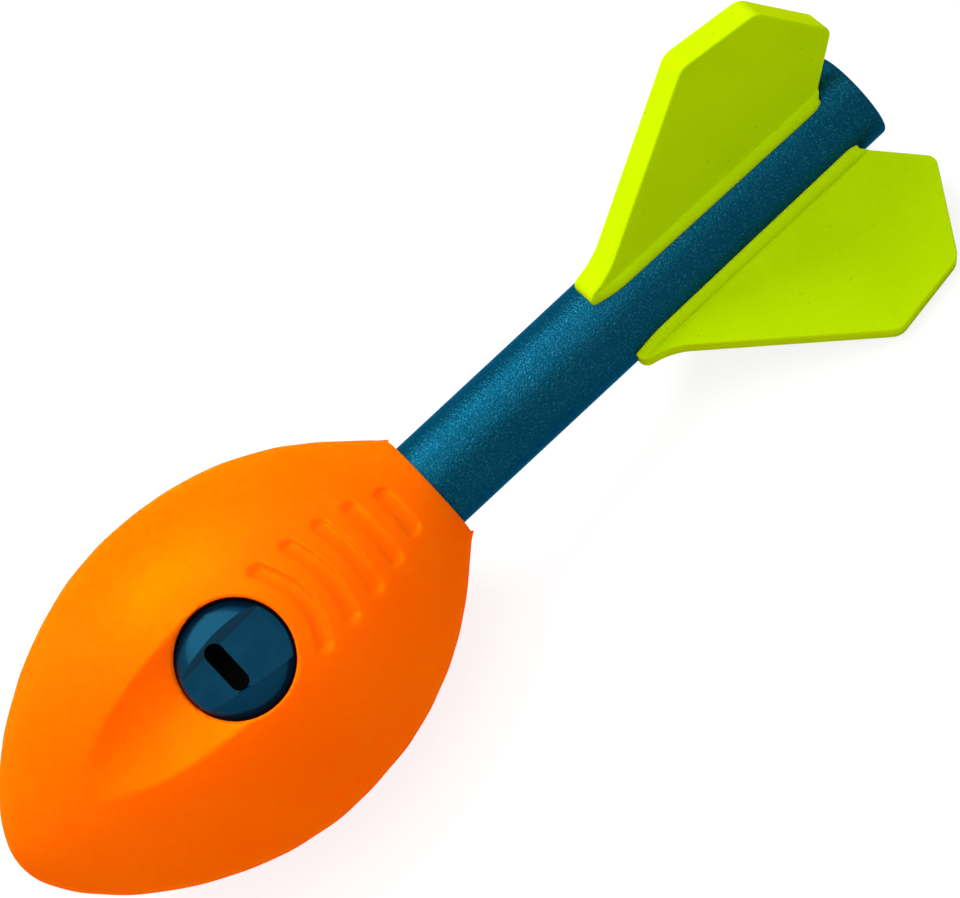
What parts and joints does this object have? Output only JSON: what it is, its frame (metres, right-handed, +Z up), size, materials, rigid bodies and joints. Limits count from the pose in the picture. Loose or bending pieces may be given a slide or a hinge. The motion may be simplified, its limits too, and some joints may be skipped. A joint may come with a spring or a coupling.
{
  "type": "foam throwing dart",
  "caption": "Whistling foam throwing dart: a rounded foam head with finger grooves and air-driven whistles on a stiff tail tube with foam fins, thrown for distance.",
  "frame": {"origin": "on the ground under the middle of the toy's bounding box, with the toy lying as it rests: on the head's belly and the tips of the two lower fins", "axes": "+Z is up. The nose points towards -X and the tail towards +X, with the tail end about 5 degrees lower than the nose. One fin stands straight up, and the upper whistle faces up and to -Y."},
  "size_m": [0.3242, 0.1078, 0.1023],
  "materials": {
    "head_foam": "matte",
    "fin_foam": "matte",
    "tail_plastic": "satin",
    "whistle_plastic": "satin",
    "inner_plastic": "matte"
  },
  "bodies": {
    "root": {"head_foam": "head_foam", "whistle_cap_upper": "whistle_plastic", "whistle_cup_upper": "inner_plastic", "whistle_cap_lower": "whistle_plastic", "whistle_cup_lower": "inner_plastic", "tail_tube": "tail_plastic", "tail_anchor": "inner_plastic", "tail_end_plug": "tail_plastic", "fin_top": "fin_foam", "fin_left": "fin_foam", "fin_right": "fin_foam"}
  },
  "joints": []
}
